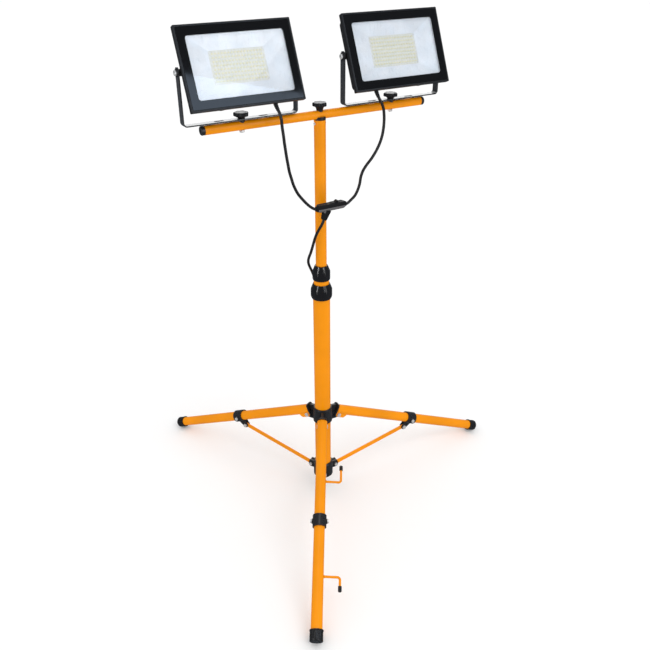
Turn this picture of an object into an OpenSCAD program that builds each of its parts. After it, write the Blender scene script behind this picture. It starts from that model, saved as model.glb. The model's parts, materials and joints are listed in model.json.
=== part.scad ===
// Twin floodlight work lamp on a telescopic folding tripod.
// Millimetres, +Z up. The origin is on the floor at the centre of the footprint,
// and the front leg points along -Y.

/* [Stand] */
// Outer diameter of the lowest mast tube
outer_d = 40; // [39.5:0.1:40]
// Outer diameter of the top mast tube
top_d = 25; // [24.5:0.1:25]
// Length of the top mast tube
top_len = 560; // [540:5:600]
// Diameter of the legs
leg_d = 25; // [24:0.5:25]
// Turn of the crossbar about the mast, in degrees
bar_turn = 31.6; // [-40:0.1:40]

/* [Lamps] */
// Width of one lamp face
lamp_w = 234; // [224:1:234]
// Height of one lamp face
lamp_h = 155; // [140:1:155]
// Upward tilt of the lamp faces, in degrees
lamp_tilt = 23.8; // [0:0.1:60]
// Length of the crossbar with its end caps
bar_len = 522; // [516:1:560]
// Distance of each lamp bolt from the mast
lamp_x = 175; // [172:1:180]

/* [Cord] */
// Diameter of the cords
cord_d = 6.2; // [5.5:0.1:6.4]

/* [Hidden] */
$fn = 64;
slip = 0.08; // radial play round a pin or stud

// Heights above the floor
mast_y = 123.3; // mast axis, behind the centre of the footprint
mast_foot_z = 43;
outer_top_z = 577;
mid_foot_z = 78;
mid_top_z = 612;
top_rim_z = 973;
bar_z = 983.2;
pivot_rise = 109; // lamp pivot above the crossbar axis

// Tubes
tube_wall = 1.5;
mid_d = 36;
bar_d = 18;
cap_len = 8;

// Legs, in the upright plane of a leg: distance from the mast axis, height
leg_turn = [-90, 30, 150]; // front, right, left
leg_slope = 25.23;
leg_in = [38.5, 233]; // centre of the tube's inner end
leg_len = 517.6; // to the sole of the foot
hub_pin = [41, 220];
clip_pin = [252, 101];
collar_pin = [35, 58];
clip_s = 257; // ring centre along the leg
pin_r = 3;
strut_t = 3;
strut_w = 11;

// Hardware
stud_r = 3;
strap_w = 16;
strap_t = 2.5;
strap_z = 11.3; // underside of the strap above the crossbar axis
arm_in = lamp_w / 2 + 1.5;
bend_r = 8;
pivot_r = 4;

// Routes. Leads: along the crossbar, across it, height above the floor
left_route = [
    [-110.5, -43, 993.5], [-108.5, -43, 979], [-106.5, -43, 964], [-105, -43, 949],
    [-103, -43, 934], [-101, -43, 919], [-98.5, -43, 904], [-95.5, -42, 889],
    [-91.5, -42, 875], [-87, -41, 861], [-81.5, -41, 848], [-75, -40, 837],
    [-67, -40, 826.5], [-57.5, -39, 815.5], [-48, -39, 806], [-38.5, -39, 799]
];
right_route = [
    [127.5, -42, 993.5], [130, -43, 980], [131, -43, 966], [130.5, -43, 952],
    [128.5, -43, 938], [124.5, -43, 924], [118, -43, 910], [109.5, -43, 897],
    [100, -43, 885.5], [89.5, -42, 874], [81, -42, 863], [76.5, -41, 850],
    [74, -41, 836], [70, -40, 822.5], [63, -40, 811], [53.5, -39, 802.5], [44.5, -39, 796.5]
];
// Mains lead: X and Y from the mast axis, height above the floor
mains_route = [
    [7.75, -41.05, 770.1], [6, -42.1, 764.7], [2.6, -41.8, 757], [-2.2, -40, 748],
    [-8, -36.7, 735.5], [-13, -33, 720.5], [-16.6, -28.9, 706.5], [-19.6, -24.2, 694.5],
    [-22.9, -18.7, 682.5], [-26.6, -12.6, 671], [-29, -4.6, 659.5], [-29.3, 4.5, 648],
    [-27.4, 12.8, 636.5], [-24.1, 20, 624.5], [-20.5, 25.8, 612], [-17.5, 30, 599],
    [-15.6, 32.2, 586], [-15, 33, 573], [-15, 33, 559], [-15, 33, 545], [-15, 33, 530]
];
// The tail of the mains lead, from the hank to the plug
tail_route = [
    [11, 33, 411], [11, 33, 398], [9.8, 34.2, 386], [6.5, 37.5, 374.5],
    [2.7, 41.3, 364], [-0.6, 44.6, 355], [-2, 46, 348], [-2, 46, 344.1]
];
splitter = [3, -39, 797]; // centre, in the leads' measures
splitter_len = 76;
hank = [-2, 52, 475]; // centre, from the mast axis
hank_r = 22.3;
hank_run = 115.4;
hank_w = 34.4;
plug = [-2, 46, 261]; // ends of the pins, from the mast axis

// ---- Frames of reference ----
module at_mast() {
    translate([0, mast_y, 0]) children();
}

module at_bar() {
    at_mast() translate([0, 0, bar_z]) rotate(bar_turn) children();
}

module at_knob(side) {
    at_bar() translate([side * lamp_x, 0, 0]) children();
}

module at_lamp(side) {
    at_knob(side) translate([0, 0, pivot_rise]) rotate([-lamp_tilt, 0, 0]) children();
}

// X outward from the mast, in the upright plane of leg i
module at_leg(i) {
    at_mast() rotate(leg_turn[i]) children();
}

// X along leg i from its inner end, Z square to it
module on_leg(i) {
    at_leg(i) translate([leg_in[0], 0, leg_in[1]]) rotate([0, leg_slope, 0]) children();
}

// ---- Shared shapes ----
module tube(d, z0, z1) {
    translate([0, 0, z0]) difference() {
        cylinder(h = z1 - z0, d = d);
        translate([0, 0, -1]) cylinder(h = z1 - z0 + 2, d = d - 2 * tube_wall);
    }
}

// Cylinder along Y, centred on the XZ point p
module pin_y(p, r, y0, y1) {
    translate([p[0], y1, p[1]]) rotate([90, 0, 0]) cylinder(h = y1 - y0, r = r);
}

// Outline in XZ, extruded from y0 to y1
module plate_y(y0, y1) {
    translate([0, y1, 0]) rotate([90, 0, 0]) linear_extrude(y1 - y0) children();
}

module round_rect(w, h, r) {
    square([w - 2 * r, h], center = true);
    square([w, h - 2 * r], center = true);
    for (x = [-1, 1], y = [-1, 1])
        translate([x * (w / 2 - r), y * (h / 2 - r)]) circle(r);
}

module slab(w, h, r, y0, y1) {
    plate_y(y0, y1) round_rect(w, h, r);
}

// Hexagon nut or bolt head along Y
module hex_y(p, r, y0, y1) {
    translate([p[0], y1, p[1]]) rotate([90, 0, 0]) cylinder(h = y1 - y0, r = r, $fn = 6);
}

// A pair of bolt head and nut with their shank, along Y
module cross_bolt(p, r, grip, head_r, head_h) {
    pin_y(p, r, -grip, grip);
    hex_y(p, head_r, -grip - head_h, -grip);
    hex_y(p, head_r, grip, grip + head_h);
}

// Round tube swept along points: a ring square to the path at each of them
function unit(v) = v / norm(v);
function heading(p, i) = unit(p[min(i + 1, len(p) - 1)] - p[max(i - 1, 0)]);
function side_of(t) = unit(cross(t, [1, 0.2, 0]));
function ring(c, t, r, n) = let (a = side_of(t), b = cross(t, a))
    [for (k = [0:n - 1]) c + r * (a * cos(360 * k / n) + b * sin(360 * k / n))];

module swept(p, r) {
    n = 10;
    m = len(p);
    points = [for (i = [0:m - 1]) each ring(p[i], heading(p, i), r, n)];
    walls = [for (i = [0:m - 2], k = [0:n - 1])
        [i * n + k, (i + 1) * n + k, (i + 1) * n + (k + 1) % n, i * n + (k + 1) % n]];
    first = [for (k = [0:n - 1]) k];
    last = [for (k = [0:n - 1]) m * n - 1 - k];
    polyhedron(points, concat(walls, [first, last]));
}

// ---- Mast ----
module outer_tube() {
    color("orange") at_mast() tube(outer_d, mast_foot_z, outer_top_z);
}

module strut_collar() {
    low = 41;
    high = 82;
    ear_gap = 2.3;
    ear_out = 6.3;
    color("#1c1c1e") difference() {
        union() {
            at_mast() translate([0, 0, low]) cylinder(h = high - low - 3, r = 25);
            at_mast() translate([0, 0, high - 3]) cylinder(h = 3, r1 = 25, r2 = 22.5);
            for (i = [0:2]) at_leg(i) plate_y(-ear_out, ear_out)
                polygon([[21, 50], [38, 50], [41.5, 54], [41.5, 63], [38, 71], [21, 71]]);
        }
        at_mast() translate([0, 0, mast_foot_z]) cylinder(h = 100, d = outer_d + 0.04);
        for (i = [0:2]) at_leg(i) {
            translate([20.3, -ear_gap, low - 1]) cube([40, 2 * ear_gap, 35]);
            pin_y(collar_pin, 2.52, -ear_out - 1, ear_out + 1);
        }
    }
}

// Short bolt halves, one in each ear, that leave the slot between the ears free
module collar_bolts() {
    color("silver") for (i = [0:2]) at_leg(i) {
        pin_y(collar_pin, 2.5, 2.4, 6.3);
        pin_y(collar_pin, 2.5, -6.3, -2.4);
        hex_y(collar_pin, 4.6, 6.3, 9.5);
        hex_y(collar_pin, 4.6, -9.5, -6.3);
    }
}

// Split clamping ring: a collar with four slots in its fingers
module collet(profile, slot_z) {
    difference() {
        rotate_extrude() polygon(profile);
        for (a = [0, 90]) rotate(a) translate([-40, -0.8, slot_z]) cube([80, 1.6, 60]);
    }
}

// Twist nut with eight flats, an outside cone and an inside cone that squeezes the collet
module lock_nut(profile, flat_r, z0, z1) {
    intersection() {
        rotate_extrude() polygon(profile);
        translate([0, 0, z0]) rotate(22.5)
            cylinder(h = z1 - z0, r = flat_r / cos(22.5), $fn = 8);
    }
}

module lower_collet() {
    r = outer_d / 2 + 0.03;
    bore = mid_d / 2 + 0.1;
    color("#2a2a2c") at_mast() collet([
        [r, 566], [21.9, 566], [21.9, 580], [20.6, 586], [19.3, 594],
        [bore, 594], [bore, outer_top_z + 0.1], [r, outer_top_z + 0.1]
    ], 580);
}

module lower_lock_nut() {
    color("#151517") at_mast() lock_nut([
        [22.3, 564], [23, 564], [25.5, 571], [25.5, 585], [19.6, 600.5],
        [18.5, 600.5], [22.3, 582]
    ], 24.8, 564, 600.5);
}

module mid_tube() {
    color("orange") at_mast() tube(mid_d, mid_foot_z, mid_top_z);
}

module upper_collet() {
    bore = top_d / 2 + 0.1;
    color("#2a2a2c") at_mast() collet([
        [bore, 588], [16.4, 588], [16.4, mid_top_z + 0.1], [19, mid_top_z + 0.1],
        [19, 624], [16.9, 630], [14.6, 636], [bore, 636]
    ], 620);
}

module upper_lock_nut() {
    color("#151517") at_mast() lock_nut([
        [19.3, 611], [19.8, 611], [21, 616], [21, 630], [14.6, 646],
        [12.95, 646], [19.3, 627]
    ], 20.4, 611, 646);
}

module top_tube() {
    rivet_z = top_rim_z - 7;
    color("orange") difference() {
        at_mast() tube(top_d, top_rim_z - top_len, top_rim_z);
        at_bar() translate([-20, 0, rivet_z - bar_z]) rotate([0, 90, 0])
            cylinder(h = 40, r = 2.45);
    }
}

// Top plug that takes the centre bolt, and the guide bush at the tube's foot
module mast_plugs() {
    foot = top_rim_z - top_len;
    color("#1c1c1e") at_mast() {
        difference() {
            translate([0, 0, top_rim_z - 33]) cylinder(h = 33, d = top_d - 2 * tube_wall - 0.1);
            translate([0, 0, top_rim_z - 29]) cylinder(h = 30, r = stud_r + slip);
            for (side = [-1, 1]) rotate(bar_turn) translate([side * 9, 0, top_rim_z - 7])
                rotate([0, 90, 0]) cylinder(h = 7, r = 2.45, center = true);
        }
        translate([0, 0, foot]) difference() {
            cylinder(h = 20, d = mid_d - 2 * tube_wall - 0.5);
            translate([0, 0, -1]) cylinder(h = 22, d = top_d + 0.04);
        }
    }
}

module plug_rivets() {
    color("silver") for (side = [-1, 1]) at_bar() scale([side, 1, 1])
        translate([0, 0, top_rim_z - 7 - bar_z]) rotate([0, 90, 0]) {
            translate([0, 0, 6]) cylinder(h = top_d / 2 - 5.9, r = 2.4);
            translate([0, 0, top_d / 2]) cylinder(h = 1.3, r1 = 3.6, r2 = 2.4);
        }
}

// ---- Crossbar ----
module crossbar() {
    tube_len = bar_len - 2 * cap_len;
    color("orange") at_bar() difference() {
        rotate([0, 90, 0]) translate([0, 0, -tube_len / 2]) difference() {
            cylinder(h = tube_len, d = bar_d);
            translate([0, 0, -1]) cylinder(h = tube_len + 2, d = bar_d - 2 * tube_wall);
        }
        for (x = [-lamp_x, 0, lamp_x])
            translate([x, 0, -20]) cylinder(h = 40, r = stud_r + slip);
    }
}

// Block between the mast and the crossbar, grooved for the bar
module bar_saddle() {
    color("#1c1c1e") at_bar() difference() {
        translate([0, 0, -9.9]) cylinder(h = 6.4, d = top_d);
        translate([-20, 0, 0]) rotate([0, 90, 0]) cylinder(h = 40, d = bar_d + 0.06);
        translate([0, 0, -20]) cylinder(h = 30, r = stud_r + slip);
    }
}

module bar_end_caps() {
    plug_d = bar_d - 2 * tube_wall - 0.1;
    color("#1c1c1e") for (side = [-1, 1]) at_bar() scale([side, 1, 1])
        translate([bar_len / 2 - cap_len, 0, 0]) rotate([0, 90, 0]) difference() {
            union() {
                translate([0, 0, -18]) cylinder(h = 19, d = plug_d);
                cylinder(h = cap_len - 1.5, d = bar_d);
                translate([0, 0, cap_len - 1.5]) cylinder(h = 1.5, d1 = bar_d, d2 = bar_d - 3);
            }
            translate([0, 0, cap_len - 2]) cylinder(h = 3, r = 2);
        }
}

// Captive nuts under the bar and the grooved washers on top of it
module bar_nuts() {
    color("silver") at_bar() {
        for (x = [-lamp_x, lamp_x]) translate([x, 0, -bar_d / 2 - 4]) difference() {
            cylinder(h = 4, r = 5.8, $fn = 6);
            translate([0, 0, -1]) cylinder(h = 6, r = stud_r + slip);
        }
        for (x = [-lamp_x, 0, lamp_x]) difference() {
            translate([x, 0, 5]) cylinder(h = (x == 0 ? 9.8 : strap_z - 0.05) - 5, r = 7);
            translate([x - 20, 0, 0]) rotate([0, 90, 0]) cylinder(h = 40, d = bar_d + 0.06);
            translate([x, 0, 0]) cylinder(h = 30, r = stud_r + slip);
        }
    }
}

// Star knob on a stud: foot and head heights above the bar axis, and the stud's tip
module star_knob(foot, head, tip) {
    grip_h = 8;
    lobes = 7;
    translate([0, 0, head - grip_h]) linear_extrude(grip_h) difference() {
        circle(15.25);
        for (k = [0:lobes - 1]) rotate(360 * k / lobes) translate([17.6, 0]) circle(4.4);
    }
    translate([0, 0, foot]) cylinder(h = head - grip_h - foot, r1 = 7, r2 = 10);
    translate([0, 0, tip + 2]) cylinder(h = foot - tip - 1, r = stud_r);
    translate([0, 0, tip]) cylinder(h = 2, r1 = 1.2, r2 = stud_r);
}

module center_knob() {
    color("#232325") at_bar() star_knob(9.9, 24.8, -34);
}

module lamp_knob(side) {
    color("#232325") at_knob(side) star_knob(strap_z + strap_t + 0.1, 25.8, -14.4);
}

// ---- Brackets: a bent strap, its arms drilled for the lamp pivots ----
module bracket_outline() {
    out = arm_in + strap_t;
    translate([-out + bend_r, strap_z]) square([2 * (out - bend_r), strap_t]);
    for (side = [-1, 1]) scale([side, 1]) {
        translate([arm_in, strap_z + bend_r])
            square([strap_t, pivot_rise + 2 - strap_z - bend_r]);
        translate([out - bend_r, strap_z + bend_r]) intersection() {
            difference() {
                circle(bend_r);
                circle(bend_r - strap_t);
            }
            translate([0, -bend_r]) square(bend_r);
        }
    }
}

module bracket(side) {
    slot_x = 47;
    slot_len = 20;
    slot_r = 3.4;
    color("#4a4b4f") at_knob(side) difference() {
        union() {
            plate_y(-strap_w / 2, strap_w / 2) bracket_outline();
            for (x = [-arm_in - strap_t, arm_in]) translate([x, 0, pivot_rise + 2])
                rotate([0, 90, 0]) cylinder(h = strap_t, d = strap_w);
        }
        translate([0, 0, strap_z - 1]) cylinder(h = 6, r = stud_r + slip);
        translate([-200, 0, pivot_rise]) rotate([0, 90, 0]) cylinder(h = 400, r = pivot_r + slip);
        for (x = [-slot_x, slot_x]) translate([x, 0, strap_z - 1]) {
            translate([-slot_len / 2 + slot_r, -slot_r, 0])
                cube([slot_len - 2 * slot_r, 2 * slot_r, 6]);
            for (e = [-1, 1]) translate([e * (slot_len / 2 - slot_r), 0, 0])
                cylinder(h = 6, r = slot_r);
        }
    }
}

// ---- Lamp: pivot axis along X, face toward -Y ----
face_y = -20;
back_y = 7;
shell_h = lamp_h - 16;
board_y = -6;

module lamp_housing(side) {
    fins = 15;
    fin_pitch = 12;
    gland_x = -side * 59;
    vent_x = side * 51;
    color("#17181a") at_lamp(side) {
        difference() {
            union() {
                slab(lamp_w, lamp_h, 1.5, face_y, -11);
                slab(lamp_w - 16, shell_h, 9, -11.1, back_y);
                for (k = [0:fins - 1])
                    translate([(k - (fins - 1) / 2) * fin_pitch - 1.2, back_y - 1, -60])
                        cube([2.4, 9, 120]);
                for (s = [-1, 1]) scale([s, 1, 1]) translate([lamp_w / 2 - 9, 0, 0])
                    rotate([0, 90, 0]) cylinder(h = 10.4, r = 6.5);
            }
            slab(lamp_w - 7, lamp_h - 7, 1.2, face_y - 1, -14.5);
            slab(lamp_w - 28, shell_h - 12, 5, -15, 3);
            for (s = [-1, 1]) scale([s, 1, 1]) translate([lamp_w / 2 - 17, 0, 0])
                rotate([0, 90, 0]) cylinder(h = 30, r = pivot_r + 0.02);
            translate([gland_x, -2, -shell_h / 2 - 5]) cylinder(h = 12, r = 4.42);
            translate([vent_x, -2, -shell_h / 2 - 5]) cylinder(h = 12, r = 3.02);
        }
        slab(120, 70, 2, board_y + 1.6, 3.1);
    }
}

module lamp_glass(side) {
    color("#30343a") at_lamp(side) slab(lamp_w - 7.4, lamp_h - 7.4, 1, face_y, -16);
}

module lamp_gasket(side) {
    color("#101010") at_lamp(side) difference() {
        slab(lamp_w - 7.4, lamp_h - 7.4, 1, -16, -14.5);
        slab(lamp_w - 26, lamp_h - 26, 5, -17, -13);
    }
}

// Sloping white tray from the window down to the light board
module lamp_reflector(side) {
    color("white") at_lamp(side) difference() {
        union() {
            slab(lamp_w - 29, lamp_h - 29, 5, -16, -15);
            hull() {
                slab(199, 119, 8, -15.4, -15, $fn = 32);
                slab(116, 65.5, 3, board_y - 0.4, board_y, $fn = 32);
            }
        }
        hull() {
            slab(195, 115, 8, -17, -16, $fn = 32);
            slab(113, 62.5, 2, board_y, board_y + 1, $fn = 32);
        }
    }
}

module lamp_led_board(side) {
    color("#dcdcd2") at_lamp(side) slab(118, 67.5, 2, board_y, board_y + 1.6);
}

// Cable gland with its strain relief and inner cable, and the pressure vent
module lamp_fittings(side) {
    low = -shell_h / 2;
    color("#1c1c1e") at_lamp(side) {
        translate([-side * 59, -2, 0]) {
            translate([0, 0, low - 5]) cylinder(h = 5, r = 7.5, $fn = 6);
            translate([0, 0, low - 20]) cylinder(h = 15, r1 = 3.6, r2 = 5.4);
            translate([0, 0, low - 0.1]) cylinder(h = 7, r = 4.4);
            translate([0, 0, low + 6]) cylinder(h = -low - 41.2, r = 2.6);
        }
        translate([side * 51, -2, 0]) {
            translate([0, 0, low - 3]) cylinder(h = 3, r = 8.5);
            translate([0, 0, low - 6]) cylinder(h = 3.1, r = 6.5);
            translate([0, 0, low - 0.1]) cylinder(h = 7, r = 3);
        }
    }
}

module lamp_pivot_bolts(side) {
    arm_out = arm_in + strap_t;
    color("silver") at_lamp(side) for (s = [-1, 1]) scale([s, 1, 1]) rotate([0, 90, 0]) {
        translate([0, 0, lamp_w / 2 - 10]) cylinder(h = strap_t + 13, r = pivot_r);
        translate([0, 0, arm_out + 0.1]) cylinder(h = 1.4, r = 9);
        translate([0, 0, arm_out + 1.5]) difference() {
            cylinder(h = 5, r = 7.5);
            translate([0, 0, 2.5]) cylinder(h = 4, r = 3.2, $fn = 6);
        }
    }
}

// ---- Hub and legs ----
module hub_holder() {
    tongue = 6.7;
    pin_y(hub_pin, 9, -tongue, tongue);
    translate([22, -tongue, 211]) cube([hub_pin[0] - 22, 2 * tongue, 18]);
    translate([leg_in[0], 0, leg_in[1]]) rotate([0, leg_slope, 0])
        translate([-0.3, 0, 0]) rotate([0, -90, 0]) linear_extrude(3.6) {
            translate([-17, -11]) square([27, 22]);
            translate([-17, -5]) square([33, 10]);
            for (y = [-5, 5]) translate([10, y]) circle(6);
        }
    plate_y(-3, 3) polygon([[22, 212], [30, 216], [42.3, 245.5], [34, 250], [22, 251]]);
}

module hub() {
    color("#1c1c1e") difference() {
        union() {
            at_mast() translate([0, 0, 214]) cylinder(h = 38, r = 24);
            at_mast() translate([0, 0, 252]) cylinder(h = 3, r1 = 24, r2 = 22.5);
            for (i = [0:2]) at_leg(i) hub_holder();
        }
        at_mast() translate([0, 0, 200]) cylinder(h = 80, r = outer_d / 2 + 0.1);
        for (i = [0:2]) at_leg(i) pin_y(hub_pin, pin_r + 0.02, -20, 20);
    }
}

module hub_pivot_bolts() {
    color("silver") for (i = [0:2]) at_leg(i) cross_bolt(hub_pin, pin_r, 10, 5.4, 4);
}

module leg(i) {
    pin_s = 7.8;
    pin_drop = -10.7;
    tip = leg_len - 3;
    color("orange") on_leg(i) difference() {
        union() {
            difference() {
                rotate([0, 90, 0]) cylinder(h = tip, d = leg_d);
                translate([-1, 0, 0]) rotate([0, 90, 0])
                    cylinder(h = tip + 2, d = leg_d - 2 * tube_wall);
                translate([-1, -7, -20]) cube([26, 14, 20]);
            }
            for (y = [-9.8, 7.05]) {
                pin_y([pin_s, pin_drop], 7.2, y, y + 2.75);
                plate_y(y, y + 2.75) polygon([
                    [pin_s - 7.2, pin_drop], [1, -4], [33, -4], [33, -11], [26.5, pin_drop - 7.2],
                    [pin_s, pin_drop - 7.2]
                ]);
            }
        }
        pin_y([pin_s, pin_drop], pin_r + slip, -20, 20);
        for (y = [-20, 9.85]) pin_y([pin_s, pin_drop], 5.7, y, y + 10.15);
        pin_y([clip_s, 0], 2.55, -20, 20);
    }
}

// Rubber boot with a flat worn into its lower edge, where it stands on the floor
module foot(i) {
    grip = 24;
    color("#141414") difference() {
        on_leg(i) difference() {
            union() {
                translate([leg_len - grip, 0, 0]) rotate([0, 90, 0]) cylinder(h = grip, r = 14.5);
                translate([leg_len - grip - 0.1, 0, 0]) rotate([0, 90, 0]) cylinder(h = 3, r = 15.2);
            }
            translate([leg_len - grip - 1, 0, 0]) rotate([0, 90, 0])
                cylinder(h = grip - 2, d = leg_d + 0.04);
        }
        translate([-1000, -1000, -200]) cube([2000, 2000, 200]);
    }
}

module clip(i) {
    ear = [1.9, 5.4];
    pin = [249.4, -28.4];
    color("#1c1c1e") on_leg(i) difference() {
        union() {
            translate([clip_s - 14, 0, 0]) rotate([0, 90, 0]) cylinder(h = 28, r = 16);
            pin_y([clip_s, 0], 6, -18, 18);
            for (y = [-ear[1], ear[0]]) {
                pin_y(pin, 7, y, y + ear[1] - ear[0]);
                plate_y(y, y + ear[1] - ear[0])
                    polygon([[244, -13], [266, -13], [256, -30], [242.6, -30]]);
            }
        }
        translate([clip_s - 20, 0, 0]) rotate([0, 90, 0]) cylinder(h = 40, d = leg_d + 0.04);
        pin_y([clip_s, 0], 2.55, -20, 20);
        pin_y(pin, pin_r + 0.02, -20, 20);
    }
}

module clip_bolts(i) {
    color("silver") {
        on_leg(i) cross_bolt([clip_s, 0], 2.5, 18, 4.6, 3.5);
        at_leg(i) cross_bolt(clip_pin, pin_r, 5.4, 5.4, 3.5);
    }
}

// Flat link from the clip's pin to the slot in the collar
module strut(i) {
    run = clip_pin - collar_pin;
    length = norm(run);
    color("orange") at_leg(i) translate([clip_pin[0], 0, clip_pin[1]])
        rotate([0, 180 - atan2(run[1], run[0]), 0]) difference() {
            plate_y(-strut_t / 2, strut_t / 2) {
                translate([0, -strut_w / 2]) square([length, strut_w]);
                circle(d = strut_w);
                translate([length, 0]) circle(d = strut_w);
            }
            pin_y([0, 0], pin_r + slip, -5, 5);
            pin_y([length, 0], 2.8, -5, 5);
        }
}

// Two bent wires on the front leg that the cord winds round, with soft end sleeves
module cord_hooks() {
    wire_r = 2.75;
    reach = 35;
    color("orange") on_leg(0) for (hook = [[159, -1, 43], [382, 1, 32]]) {
        root = leg_d / 2;
        corner = root + reach;
        translate([hook[0], 0, 0]) {
            pin_y([0, 0], wire_r, root, corner);
            translate([0, corner, 0]) sphere(r = wire_r);
            translate([0, corner, 0]) rotate([0, hook[1] * 90, 0]) {
                cylinder(h = hook[2] - 2, r = wire_r);
                translate([0, 0, hook[2] - 12]) cylinder(h = 12, r = 3.9);
            }
        }
    }
}

// ---- Cords ----
module splitter_body() {
    half = splitter_len / 2;
    color("#1c1c1e") at_bar() translate(splitter - [0, 0, bar_z]) difference() {
        union() {
            rotate([90, 0, 90]) translate([0, 0, -half + 5]) linear_extrude(splitter_len - 10)
                polygon([[-8, 8], [8, 8], [8, -4], [4, -8], [-4, -8], [-8, -4]]);
            for (s = [-1, 1]) scale([s, 1, 1]) translate([half - 5.1, 0, 0]) rotate([0, 90, 0])
                cylinder(h = 5.1, r1 = 7.5, r2 = 4.5);
            translate([-10, 0, -6]) rotate([0, -159.3, 0]) cylinder(h = 22, r1 = 10, r2 = 6.6);
        }
        translate([1, -4.5, 3]) cube([16, 9, 6]);
    }
}

module rocker_switch() {
    color("#101012") at_bar() translate(splitter - [0, 0, bar_z] + [9, 0, 6.5])
        plate_y(-4.2, 4.2) polygon([[-7, -1.5], [0, -3], [7, 0], [6.2, 6], [3.5, 6], [-1, 2.2], [-7, 1.7]]);
}

function in_bar(p) = [for (q = p) q - [0, 0, bar_z]];

module lead_left() {
    color("#18181a") at_bar() swept(in_bar(left_route), cord_d / 2);
}

module lead_right() {
    color("#18181a") at_bar() swept(in_bar(right_route), cord_d / 2);
}

// From the splitter to the hank, and from the hank to the plug
module mains_lead() {
    color("#18181a") at_mast() {
        swept(mains_route, cord_d / 2);
        swept(tail_route, cord_d / 2);
    }
}

// Outer shape of the hanked cord: long loops lying in upright planes
module mains_hank() {
    color("#202022") at_mast() translate([hank[0] - hank_w / 2, hank[1], hank[2]])
        rotate([90, 0, 90]) linear_extrude(hank_w) {
            square([2 * hank_r, hank_run], center = true);
            for (s = [-1, 1]) translate([0, s * hank_run / 2]) circle(hank_r);
        }
}

module hank_tie() {
    tie_h = 16;
    tie_t = 1.4;
    inside = [hank_w + 0.2, 2 * hank_r + 0.2];
    color("#3a3a3c") at_mast() translate(hank) difference() {
        cube([inside[0] + 2 * tie_t, inside[1] + 2 * tie_t, tie_h], center = true);
        cube([inside[0], inside[1], tie_h + 2], center = true);
    }
}

module mains_plug() {
    pin_len = 19;
    pin_x = 9.5;
    face_r = 18.5;
    color("#18181a") at_mast() translate(plug) {
        for (x = [-pin_x, pin_x]) translate([x, 0, 0]) cylinder(h = pin_len + 1, r = 2.4);
        translate([0, 0, pin_len]) cylinder(h = 20, r = face_r);
        translate([0, 0, pin_len + 20]) cylinder(h = 12, r1 = face_r, r2 = 9);
        translate([0, 0, pin_len + 32]) cylinder(h = 32, r1 = 6.5, r2 = 4.2);
    }
}

// ---- Assembly ----
outer_tube();
strut_collar();
collar_bolts();
lower_collet();
lower_lock_nut();
mid_tube();
upper_collet();
upper_lock_nut();
top_tube();
mast_plugs();
plug_rivets();
crossbar();
bar_saddle();
bar_end_caps();
bar_nuts();
center_knob();
lamp_knob(-1);  // knob_left
lamp_knob(1);  // knob_right
bracket(-1);  // bracket_left
bracket(1);  // bracket_right
lamp_housing(-1);  // lamp_left_housing
lamp_glass(-1);  // lamp_left_glass
lamp_gasket(-1);  // lamp_left_gasket
lamp_reflector(-1);  // lamp_left_reflector
lamp_led_board(-1);  // lamp_left_led_board
lamp_fittings(-1);  // lamp_left_fittings
lamp_pivot_bolts(-1);  // lamp_left_pivot_bolts
lamp_housing(1);  // lamp_right_housing
lamp_glass(1);  // lamp_right_glass
lamp_gasket(1);  // lamp_right_gasket
lamp_reflector(1);  // lamp_right_reflector
lamp_led_board(1);  // lamp_right_led_board
lamp_fittings(1);  // lamp_right_fittings
lamp_pivot_bolts(1);  // lamp_right_pivot_bolts
hub();
hub_pivot_bolts();
leg(0);  // leg_front
leg(1);  // leg_right
leg(2);  // leg_left
foot(0);  // foot_front
foot(1);  // foot_right
foot(2);  // foot_left
clip(0);  // clip_front
clip(1);  // clip_right
clip(2);  // clip_left
clip_bolts(0);  // clip_bolts_front
clip_bolts(1);  // clip_bolts_right
clip_bolts(2);  // clip_bolts_left
strut(0);  // strut_front
strut(1);  // strut_right
strut(2);  // strut_left
cord_hooks();
splitter_body();
rocker_switch();
lead_left();
lead_right();
mains_lead();
mains_hank();
hank_tie();
mains_plug();
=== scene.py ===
"""Twin floodlight work lamp on a telescopic folding tripod: cords, finishes and fine pieces."""
import json
import math

import bmesh
import bpy
from mathutils import Matrix, Vector

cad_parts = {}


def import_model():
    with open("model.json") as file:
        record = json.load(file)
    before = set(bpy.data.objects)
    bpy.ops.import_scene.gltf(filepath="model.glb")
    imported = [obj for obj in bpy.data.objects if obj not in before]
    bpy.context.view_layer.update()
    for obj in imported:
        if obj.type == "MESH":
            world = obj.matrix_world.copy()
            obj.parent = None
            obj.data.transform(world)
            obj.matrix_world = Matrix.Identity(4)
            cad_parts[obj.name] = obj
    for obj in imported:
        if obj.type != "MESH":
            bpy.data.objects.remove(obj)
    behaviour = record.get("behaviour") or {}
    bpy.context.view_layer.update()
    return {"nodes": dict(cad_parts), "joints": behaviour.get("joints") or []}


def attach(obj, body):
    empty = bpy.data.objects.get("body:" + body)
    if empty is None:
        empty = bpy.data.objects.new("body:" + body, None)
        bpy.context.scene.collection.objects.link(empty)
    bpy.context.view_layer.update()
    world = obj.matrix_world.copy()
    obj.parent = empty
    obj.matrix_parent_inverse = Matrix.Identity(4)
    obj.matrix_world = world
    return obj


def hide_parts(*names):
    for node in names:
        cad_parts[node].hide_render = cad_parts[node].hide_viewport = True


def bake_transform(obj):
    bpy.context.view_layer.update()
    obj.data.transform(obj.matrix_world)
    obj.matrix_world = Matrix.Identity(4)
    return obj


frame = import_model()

MM = 0.001
STILL = Matrix.Identity(4)
NODES = frame["nodes"]
JOINTS = {j["name"]: j for j in frame["joints"]}
SIDES = {"left": -1, "right": 1}
LEGS = {"front": -90, "right": 30, "left": 150}

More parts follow.
